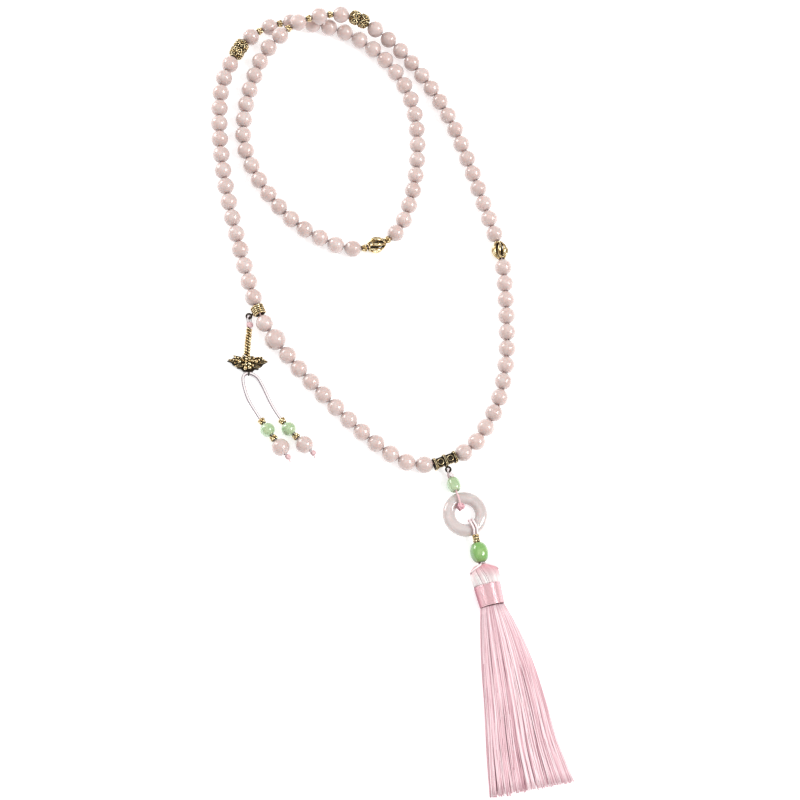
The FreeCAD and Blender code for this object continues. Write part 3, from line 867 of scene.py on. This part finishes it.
def knot_shape(diameter, cord, squash):
    """A small round knot: a cord that goes round and over itself."""
    radius, bights = diameter / 2 - cord / 2, 3
    turn = round_angles(96)
    rise = np.sin(bights * turn)
    reach = radius * (1 + 0.14 * np.cos(2 * bights * turn + 0.7))
    points = np.stack([reach * np.cos(rise) * np.cos(2 * turn),
                       reach * np.cos(rise) * np.sin(2 * turn),
                       reach * np.sin(rise) * squash], 1)
    shape = Shape().add(ball(radius * 0.86, squash=squash))
    return shape.add(tube(points, cord / 2, 8, closed=True))


def add_knot(name, body, node, axis, cord, material, squash=1.0, tails=0, seed=1, scale=1.0):
    """A knot over a CAD knot, with a few loose fibres where tails is over 0."""
    middle = node_middle(node)
    low_corner, high_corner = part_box(node)
    across = max(high_corner - low_corner) / MM * scale
    shape = Shape().join(knot_shape(across, cord, squash), standing(middle, axis))
    draw = random.Random(seed)
    for _ in range(tails):
        lean = Vector([draw.uniform(-0.5, 0.5) for _ in range(3)])
        way = (Vector(axis) + lean).normalized()
        long = draw.uniform(0.3, 0.62) * across
        rise = np.linspace(0.25, 1, 6)[:, None]
        droop = np.array([[0, 0, -0.25 * across]]) * rise ** 2
        points = np.array(middle) + np.array(way) * rise * (across / 2 + long) + droop
        points[:, 2] = points[:, 2].clip(0.2)
        shape.add(tube(points, np.linspace(0.17, 0.07, 6), 5))
    return shape.thread(name, body, material, [node])


def laid_cord(name, body, node, points, diameter, material, pitch=2.4, groove=0.25):
    """A laid cord along a route, as a mesh; also gives the line that it follows."""
    line = line_of(route_curve(f"{name}_route", points, diameter, 14))
    shape = Shape().add(laid(line, diameter, pitch, groove))
    return shape.thread(name, body, material, [node]), line


def add_ties():
    """The two cords side by side that tie the tassel to the stone ring."""
    ties = Shape()
    for share in (-0.5, 0.5):
        route = [tuple(Vector(point) + Vector(TIE_STEP) * share) for point in TIE_ROUTE]
        ties.add(laid(line_of(route_curve("tie_route", route, PENDANT_CORD, 14)), PENDANT_CORD))
    ties.thread("ring_ties", "tassel", TIE_CORD, ["ring_ties"])


def add_arm(side, route, spacer_body, seed):
    """One arm of the counter: its cord with the end knot, its spacers and its two stones."""
    body = f"{side}_arm"
    cord, line = laid_cord(body, body, f"{side}_arm_cord", route, ARM_CORD, PALE_CORD, 2.8, 0.1)
    knot = add_knot(f"knot_{side}", body, f"{side}_end_knot", joint_place(f"{side}_pink_spin")[1],
                    0.95, CORD, tails=7, seed=seed)
    add_spacers(f"{side}_arm_spacers", spacer_body, granulated_spacer(ARM_HOLE), line)
    for kind, diameter, hole in ARM_BEADS:
        node = f"{side}_{kind}_bead"
        stone = (QUARTZ, "rose_quartz") if kind == "pink" else (PALE_STONE, "green_jade")
        bead_group(f"stone_{node}", node, node, [joint_place(f"{side}_{kind}_spin")[0]],
                   diameter, hole, line, 30, *stone)


add_knot("knot_pendant", "pendant", "pendant_knot", joint_place("pale_bead_spin")[1], 0.85,
         TIE_CORD, scale=1.45)
add_loop("loop_pendant", "pendant", "pendant_knot", TIE_CORD)
laid_cord("over_ring", "pendant", "pendant_cord", PENDANT_ROUTE, 0.95, CORD)
add_knot("knot_ring", "pendant", "ring_knot", (0.5, -0.6, 0.3), 0.75, KNOT_CORD, scale=1.25)
add_ties()
add_knot("knot_counter", "counter", "counter_knot", (0.05, -1, -0.3), 0.9, CORD, scale=1.2)
add_loop("loop_counter", "counter", "counter_knot", PALE_CORD)
add_arm("left", LEFT_ARM, "left_slider", 3)
add_arm("right", RIGHT_ARM, "right_arm", 4)


# ---- the stones of the main pendant ----
def add_oval_bead(body, node, width, length, flat_end, material):
    """A drilled oval bead along its joint's axis, whose flat ends have this radius."""
    bore = ARM_HOLE / 2
    angles = np.linspace(math.pi / 2, -math.pi / 2, 27)
    side = [(flat_end + (width / 2 - flat_end) * math.cos(a), length / 2 * math.sin(a))
            for a in angles]
    lip = [(bore + 0.2, length / 2), (bore, length / 2 - 0.2)]
    profile = side + [(r, -z) for r, z in lip] + lip[::-1]
    bead = Shape().add(lathe(profile, 40), 0, standing(*joint_place(f"{body}_spin")))
    bead.piece(f"stone_{node}", body, "green_jade", [material], [node])


add_oval_bead("pale_bead", "pale_green_bead", PALE, PALE_LENGTH, 1.6, PALE_STONE)
add_oval_bead("green_bead", "green_bead", GREEN, GREEN_LENGTH, 1.3, GREEN_STONE)


def add_stone_ring():
    """The pendant's stone ring, oval in section."""
    low_corner, high_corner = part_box("stone_ring")
    outer = (high_corner.x - low_corner.x) / 2 / MM
    thick = (high_corner.z - low_corner.z) / 2 / MM
    inner = RING_HOLE_RADIUS
    profile = [((outer + inner) / 2 + (outer - inner) / 2 * math.cos(angle),
                thick * math.sin(angle)) for angle in round_angles(40)]
    place = Matrix.Translation(joint_place("stone_ring_turn")[0])
    Shape().add(lathe(profile, 96), 0, place).piece(
        "stone_ring_pendant", "stone_ring", "rose_quartz", [RING_STONE], ["stone_ring"])


add_stone_ring()


# ---- the counter pendant's gilt charm ----
def add_stem():
    """Two slim columns of balls that step down by turns, on a dark wire."""
    low_corner, high_corner = (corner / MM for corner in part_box("counter_stem"))
    top = Vector((STEM_TOP[0], high_corner.y, STEM_TOP[1]))
    end = Vector((STEM_END[0], low_corner.y - 0.5, STEM_END[1]))
    rows, stem = 10, Shape()
    stem.add(tube([top, (top + end) / 2, end], 0.5, 8), 1)
    pitch = (end - top).length / rows
    along = (end - top).normalized()
    for row in range(rows):
        for side in (-1, 1):
            offset = Vector((side * (0.6 + 0.018 * row), 0, 0))
            centre = top + along * pitch * (row + 0.5 + side * 0.24) + offset
            stem.add(ball(0.78, centre, 14, 9))
    stem.gilt("stem", "counter", "counter_stem")


def petal(length, width, rise):
    """A pointed leaf along X: a raised rim and a middle rib on a curved blade."""
    shape, count = Shape(), 12
    share = np.linspace(0, 1, count)
    half = width / 2 * np.sin(math.pi * share ** 0.8) ** 0.9
    upper = np.stack([share * length, half, rise * share ** 2], 1)
    lower = np.stack([share * length, -half, rise * share ** 2], 1)
    rim = np.concatenate([upper, lower[-2:0:-1]])
    shape.add(tube(rim, 0.12, 7, closed=True))
    blade = np.concatenate([upper - (0, 0, 0.12), lower - (0, 0, 0.12)])
    quads = [(i, i + 1, count + i + 1, count + i) for i in range(count - 1)]
    shape.add((blade, quads), 1)
    return shape.add(tube(upper * (1, 0, 1) + (0, 0, 0.06), 0.08, 6))


def add_lotus():
    """A jagged dark ground with gilt leaves and balls on it, and the ring for the cords."""
    middle, lotus = Vector(LOTUS_AT), Shape()
    outline = [(-9.1, 1.0), (-7.4, 1.5), (-6.4, 2.6), (-5.0, 2.2), (-3.4, 2.7), (-1.8, 2.1),
               (0.0, 3.6), (2.0, 2.3), (4.0, 3.2), (5.6, 3.5), (7.0, 2.6), (8.9, 1.5),
               (7.0, 0.3), (6.3, -0.8), (5.2, -1.0), (4.9, -2.4), (3.4, -2.2), (2.2, -3.5),
               (-1.8, -3.5), (-3.0, -2.3), (-4.5, -2.2), (-5.0, -1.1), (-6.5, -0.7), (-7.1, 0.3)]
    count = len(outline)
    slab = [middle + Vector((x, y, height)) for height in (0.1, 1.7) for x, y in outline]
    lotus.add((slab, cap_faces(2, count) + grid_faces(2, count)), 1)
    # start x and y, lean, length and width of each leaf on one side
    leaves = (
        (1.2, 0.7, 0.08, 7.7, 1.7), (1.5, 1.4, 0.36, 5.6, 1.5), (1.4, -0.6, -0.26, 4.6, 1.3),
        (0.9, 2.0, 0.8, 2.2, 1.2),
    )
    # x, y and radius of each ball on one side
    balls = (
        (2.0, 1.2, 0.75), (3.6, 0.7, 1.0), (5.1, 1.5, 0.68), (6.4, 1.7, 0.52), (7.5, 1.5, 0.4),
        (2.3, -0.7, 0.72), (2.7, 2.4, 0.6), (4.2, 2.4, 0.55), (5.5, 2.7, 0.44),
        (5.6, 0.3, 0.42),
    )
    draw = random.Random(21)
    for side in (-1, 1):
        for layer, (x, y, lean, length, width) in enumerate(leaves):
            place = (Matrix.Translation(middle + Vector((side * x, y, 1.75 + 0.12 * layer)))
                     @ Matrix.Rotation(lean if side > 0 else math.pi - lean, 4, "Z"))
            lotus.join(petal(length, width, 0.4), place)
        for x, y, size in balls:
            wander = Vector([draw.uniform(-0.25, 0.25) for _ in range(3)]) * 0.8
            rise = y + (0.25 if side > 0 else -0.2) * (x > 3)
            centre = middle + Vector((side * x, rise, 2.3)) + wander
            lotus.add(ball(size * draw.uniform(0.88, 1.08), centre, 12, 7))
    for y, size in ((3.2, 0.6), (2.1, 0.7), (0.9, 0.78), (-0.5, 0.86), (-2.1, 0.96)):
        for side in (-1, 1):
            centre = middle + Vector((side * size * 0.95, y + side * 0.2, 2.5 - 0.06 * abs(y)))
            lotus.add(ball(size, centre, 14, 9))
    ring_at = joint_place("left_arm_swing")[0]
    lotus.add(hoop(1.1, 0.45, axis="X", steps=36), 1, Matrix.Translation(ring_at))
    lotus.gilt("lotus", "counter", "counter_lotus")


add_stem()
add_lotus()


# ---- the tassel ----
# Stations: middle x, y and z, half width and half height
HEAD = [
    (43.6, -84.9, 4.7, 1.5, 1.3), (43.75, -85.15, 4.8, 3.3, 2.9), (43.95, -85.9, 5.0, 4.7, 4.1),
    (44.2, -87.1, 5.2, 5.8, 4.9), (44.5, -88.7, 5.5, 6.4, 5.4), (44.9, -90.7, 5.7, 6.55, 5.6),
    (45.2, -92.6, 5.7, 6.3, 5.5), (45.4, -93.4, 5.7, 6.0, 5.4),
]
BAND = [
    (45.5, -93.9, 5.7, 5.95, 5.5), (46.6, -98.4, 5.5, 5.7, 5.4), (47.7, -102.8, 5.4, 5.45, 5.2),
]
SKIRT = [
    (47.8, -103.15, 5.2, 5.3, 5.0), (50.2, -111.5, 4.6, 7.9, 4.5), (53.7, -126.0, 3.9, 11.2, 3.8),
    (57.4, -145.0, 3.3, 13.8, 3.1), (60.1, -162.0, 2.8, 15.9, 2.7), (63.8, -179.0, 2.5, 18.9, 2.4),
]


def smooth_between(at, places, values):
    """The values at these places, on a smooth line through the known ones."""
    slopes = np.gradient(values, places, axis=0)
    index = np.clip(np.searchsorted(places, at, side="right") - 1, 0, len(places) - 2)
    gap = (places[index + 1] - places[index])[..., None]
    share = (np.clip(at, places[0], places[-1]) - places[index])[..., None] / gap
    start, end = values[index], values[index + 1]
    blend = share * share * (3 - 2 * share)
    rise = share * (1 - share) * gap
    return (start + (end - start) * blend
            + rise * ((1 - share) * slopes[index] - share * slopes[index + 1]))


class Body:
    """A soft body through oval stations."""

    def __init__(self, stations):
        self.stations = np.array(stations, float)
        steps = np.diff(self.stations[:, :2], axis=0)
        lengths = np.linalg.norm(steps, axis=1)
        self.share = np.concatenate([[0], np.cumsum(lengths)]) / lengths.sum()
        self.long = lengths.sum()
        way = self.stations[-1, :2] - self.stations[0, :2]
        way /= np.linalg.norm(way)
        self.across = np.array([-way[1], way[0], 0.0])

    def at(self, share):
        """The station values at these shares of its length; beyond 1 they run straight on."""
        share = np.asarray(share, float)
        last = (self.stations[-1] - self.stations[-2]) / (self.share[-1] - self.share[-2])
        beyond = np.clip(share - 1, 0, None)[..., None] * last
        return smooth_between(share, self.share, self.stations) + beyond

    def on(self, share, angle, depth):
        """Points on the body: angle 0 is to one side and a quarter turn is on top."""
        values = self.at(share)
        sideways = (values[..., 3] * np.cos(angle) * depth)[..., None] * self.across
        upward = (values[..., 4] * np.sin(angle) * depth)[..., None] * np.array(UP)
        return values[..., :3] + sideways + upward

    def core(self, depth, rows, start=0.0, end=1.0):
        """A closed body inside the threads."""
        sides = 40
        points = [self.on(np.full(sides, share), round_angles(sides), depth)
                  for share in np.linspace(start, end, rows)]
        return np.concatenate(points), grid_faces(rows, sides) + cap_faces(rows, sides)


def add_skirt():
    """Several hundred silk threads in loose locks, that fan out and end unevenly."""
    body, draw, skirt = Body(SKIRT), random.Random(11), Shape()
    skirt.add(body.core(0.86, 14, 0.0, 0.975), 1)
    locks, threads, rows = 60, 8, 19
    tones, floor_gap, lowest_y = (0, 2, 3), 0.15, -182.9
    for lock in range(locks):
        lock_angle = math.tau * lock / locks
        lock_drift = draw.uniform(-0.02, 0.02)
        lock_wave, lock_end = draw.uniform(0, math.tau), draw.uniform(-0.005, 0.008)
        lock_depth = draw.uniform(0.965, 1.0)
        tone = 0
        for thread in range(threads):
            spread = (thread + draw.uniform(-0.4, 0.4)) / threads - 0.5
            end = 1.0 + lock_end + draw.uniform(-0.014, 0.014)
            share = np.linspace(-0.012, end, rows)
            run = share.clip(0)
            angle = (lock_angle + spread * math.tau / locks * (1.25 - 0.3 * run)
                     + lock_drift * run ** 1.5
                     + 0.012 * np.sin(lock_wave + run * 5) * run
                     + draw.uniform(-0.04, 0.04) * run
                     + draw.uniform(-0.03, 0.03) * np.sin(run * draw.uniform(4, 11)))
            depth = (lock_depth - 0.02 * abs(spread) * run + draw.uniform(-0.05, 0.0) * run
                     + 0.012 * np.sin(run * 7 + draw.uniform(0, 6)))
            points = body.on(share, angle, depth)
            thick = np.interp(run, [0, 0.1, 1], [0.15, 0.18, 0.21]) * draw.uniform(0.85, 1.1)
            points[:, 2] = np.maximum(points[:, 2], thick + floor_gap)
            points[:, 1] = np.maximum(points[:, 1], lowest_y)
            # each run of threads takes a silk copy at random: painted highlight and shade streaks
            tone = draw.choice(tones) if draw.random() < 0.75 else tone
            skirt.add(tube(points, thick, 5), tone)
    skirt.piece("silk_skirt", "tassel", "silk_thread",
                [SILKS[0], SILK_SHADE, SILKS[1], SILKS[2]], ["tassel_skirt"])


def add_head():
    """Threads folded over the cord's knot and gathered into the band."""
    body, draw, head = Body(HEAD), random.Random(12), Shape()
    head.add(body.core(0.88, 30), 1)
    threads, rows = 150, 20
    for thread in range(threads):
        start = math.tau * (thread + draw.uniform(-0.3, 0.3)) / threads
        share = np.linspace(0, 1, rows) ** 1.7
        swirl = 0.5 * (1 - share) ** 1.5 + draw.uniform(-0.07, 0.07)
        crease = 0.01 * np.sin(start * 9) * np.sin(math.pi * share)
        points = body.on(share * 1.06, start + swirl, draw.uniform(0.93, 0.98) + crease)
        thick = np.interp(share, [0, 0.3, 1], [0.13, 0.2, 0.22])
        head.add(tube(points, thick, 6))
    # the cord's looped end, laid over the top of the head
    for side in (-1, 1):
        share = np.linspace(0, 0.36, 12)
        points = body.on(share, math.pi / 2 + side * (0.25 + 3.4 * share), 1.04)
        head.add(tube(points, 0.62 - 0.9 * share, 8), 2)
    head.piece("silk_head", "tassel", "silk_thread", [HEAD_SILK, SILK_SHADE, TIE_CORD],
               ["tassel_head"])


def add_band():
    """Satin thread wound tightly round the tassel's neck."""
    body, band = Body(BAND), Shape()
    band.add(body.core(0.94, 8, 0.03, 0.97), 1)
    turns, steps, margin = 18, 44, 0.006
    thick = body.long / turns * 0.66
    at = np.linspace(0, 1, turns * steps)
    share = margin + (1 - 2 * margin) * at
    angle = at * turns * math.tau
    wander = np.array([noise.noise(Vector((a * 0.6, 3.0, 0))) for a in angle])
    points = body.on(share + wander * 0.005, angle, 0.955)
    band.add(tube(points, thick, 6))
    band.piece("satin_band", "tassel", "silk_thread", [SATIN, SATIN_SHADE], ["tassel_band"])


def add_tassel_spacer():
    """Four rows of balls on a dark sleeve; the first lies over the stone ring's edge."""
    spacer = Shape()
    rows = ((-1.75, 5, 0.0), (-0.6, 6, 0.5), (0.6, 6, 0.0), (1.5, 5, 0.5))
    for offset, count, turn in rows:
        granules(spacer, 1.05, offset, count, 0.62, turn=turn)
    spacer.add(sleeve(0.95, 0.6, 3.4, 20), 1)
    place = standing(node_middle("tassel_spacer"), TASSEL_DOWN)
    Shape().join(spacer, place).gilt("tassel_spacer", "tassel", "tassel_spacer")


def add_tassel_cord():
    """The straight cord through the spacer and the green bead, with the knot under it."""
    top = Vector(TASSEL_TOP)
    end = top + Vector(TASSEL_DOWN) * TASSEL_CORD_LENGTH
    cord = Shape().add(laid(np.linspace(top, end, 12), PENDANT_CORD))
    cord.thread("tassel", "tassel", CORD, ["tassel_cord"])
    add_knot("knot_tassel", "tassel", "tassel_knot", TASSEL_DOWN, 0.8, PALE_CORD, 0.35)


add_skirt()
add_head()
add_band()
add_tassel_spacer()
add_tassel_cord()
